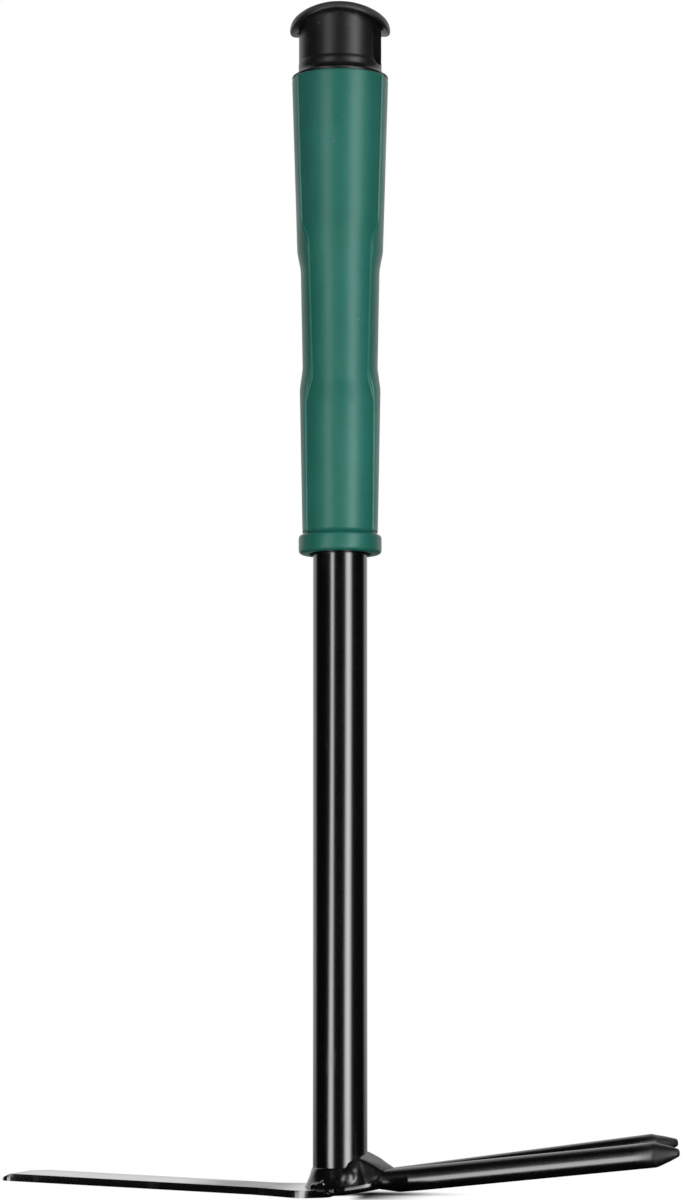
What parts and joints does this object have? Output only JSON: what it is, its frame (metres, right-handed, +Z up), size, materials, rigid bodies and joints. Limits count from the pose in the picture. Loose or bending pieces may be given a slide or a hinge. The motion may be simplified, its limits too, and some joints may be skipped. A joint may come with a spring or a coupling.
{
  "type": "double-ended hand hoe",
  "caption": "Double-ended hand hoe: flat hoe blade opposite a pronged fork, welded to a painted steel tube with a moulded grip and a slotted hanging cap.",
  "frame": {"origin": "on the tube's axis, at the underside of the plate that the tube is welded to", "axes": "+Z up along the tube to the hanging cap, +X towards the fork, -X towards the hoe blade, -Y to the front"},
  "size_m": [0.2169, 0.0796, 0.3922],
  "materials": {
    "black_paint": "glossy black paint on steel",
    "weld_paint": "glossy black paint over uneven weld metal",
    "green_grip": "satin green moulded plastic",
    "black_cap": "satin black moulded plastic"
  },
  "bodies": {
    "root": {"shaft_tube": "black_paint", "hoe_blade": "black_paint", "front_tine": "black_paint", "rear_tine": "black_paint", "blade_weld": "weld_paint", "fork_weld": "weld_paint", "grip": "green_grip", "hang_cap": "black_cap"}
  },
  "joints": []
}
